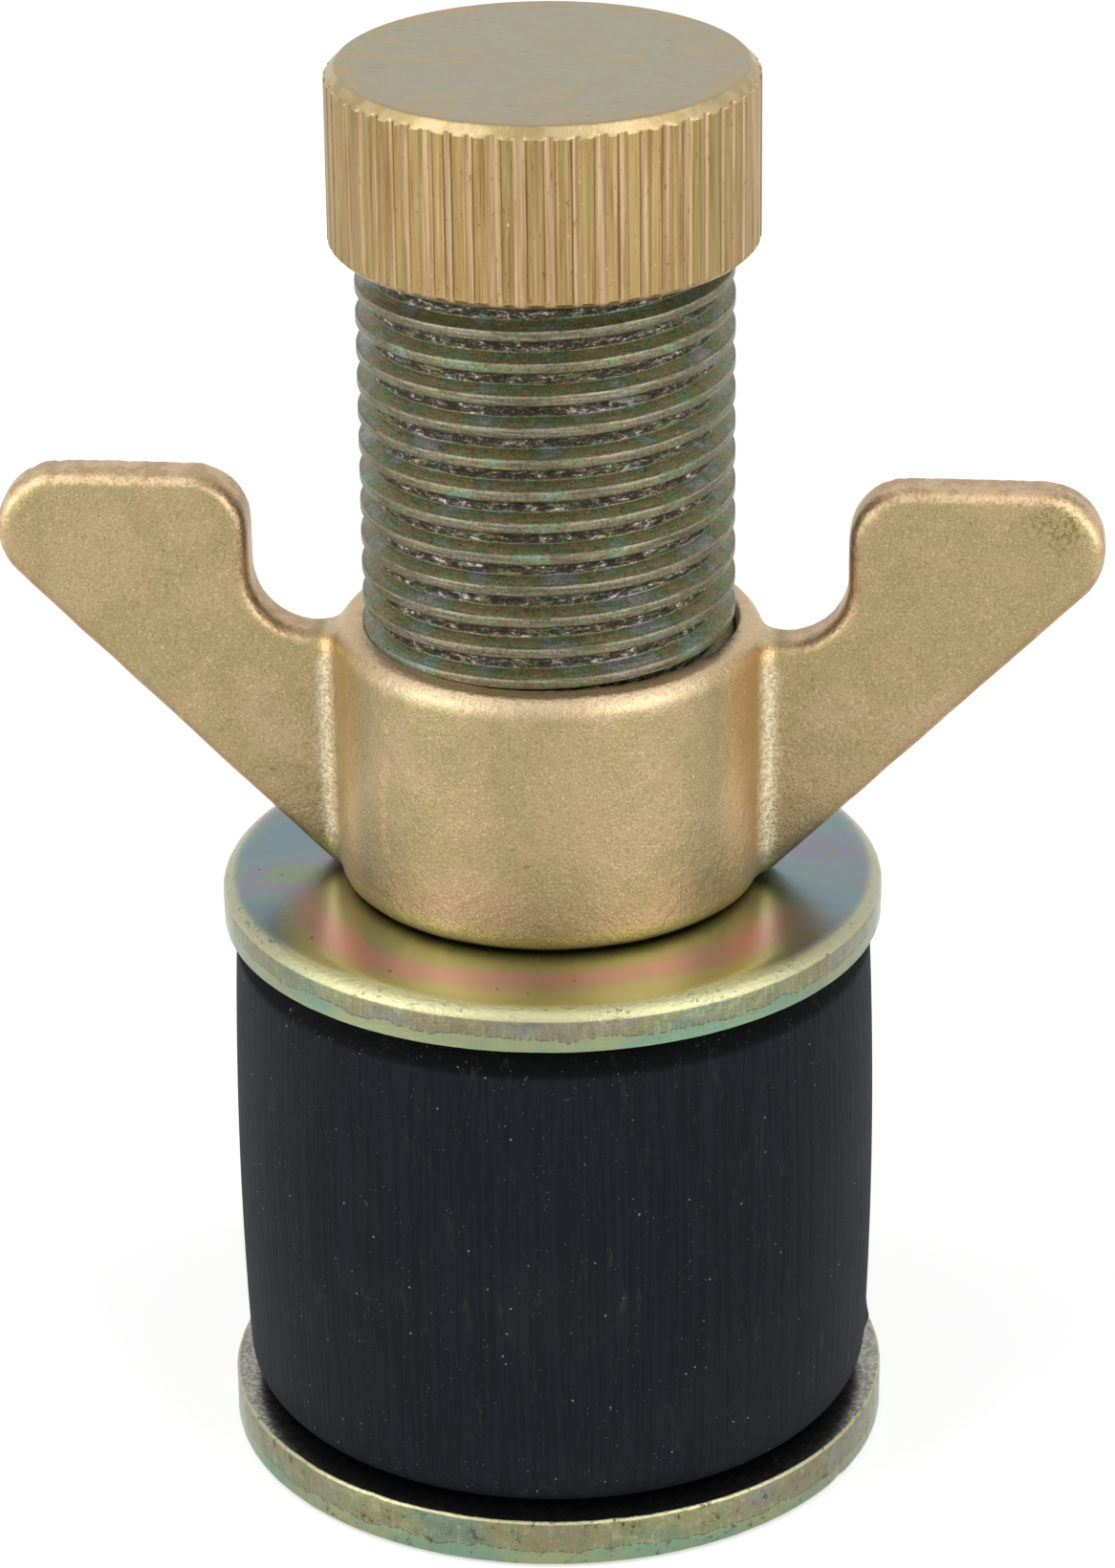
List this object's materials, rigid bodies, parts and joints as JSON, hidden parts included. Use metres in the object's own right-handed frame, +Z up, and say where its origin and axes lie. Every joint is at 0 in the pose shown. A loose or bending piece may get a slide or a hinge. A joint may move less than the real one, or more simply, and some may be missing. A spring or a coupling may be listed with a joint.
{
  "type": "pipe expansion plug",
  "caption": "Wing-nut expansion plug for testing drain pipes: a rubber sleeve between two steel plates on a hollow threaded spindle with a knurled outlet cap.",
  "frame": {"origin": "middle of the base plate's underside, on the spindle's axis", "axes": "+Z up the spindle towards the cap, the nut's wings along X with the plug slack, +Y across the wings"},
  "size_m": [0.0614, 0.038, 0.0821],
  "materials": {
    "plate_zinc": "yellow zinc plated, semi-gloss",
    "spindle_zinc": "olive zinc plated, cut thread",
    "seal_rubber": "black, ground, matt",
    "washer_rubber": "black, matt",
    "cast_brass": "cast, blasted, matt",
    "turned_brass": "turned and knurled, satin"
  },
  "bodies": {
    "root": {"base_plate": "plate_zinc", "rubber_seal": "seal_rubber", "spindle": "spindle_zinc"},
    "top_plate": {"top_plate": "plate_zinc"},
    "wing_nut": {"wing_nut": "cast_brass"},
    "cap_seal": {"cap_seal": "washer_rubber"},
    "blanking_cap": {"blanking_cap": "turned_brass"}
  },
  "joints": [
    {"name": "plate_slide", "type": "slide", "parent": "root", "child": "top_plate", "axis": [0, 0, 1], "range_m": [-0.008, 0], "deforming": ["rubber_seal"]},
    {"name": "wing_nut_turn", "type": "hinge", "parent": "top_plate", "child": "wing_nut", "pos_m": [0, 0, 0.0425], "axis": [0, 0, 1], "range_deg": [-1584, 0]},
    {"name": "cap_lift", "type": "slide", "parent": "root", "child": "cap_seal", "axis": [0, 0, 1], "range_m": [0, 0.0073]},
    {"name": "cap_turn", "type": "hinge", "parent": "cap_seal", "child": "blanking_cap", "pos_m": [0, 0, 0.077], "axis": [0, 0, 1], "range_deg": [0, 1440]}
  ],
  "couplings": [
    {"joint": "plate_slide", "follows": "wing_nut_turn", "m_per_rad": 0.00028876},
    {"joint": "cap_lift", "follows": "cap_turn", "m_per_rad": 0.00028876}
  ]
}
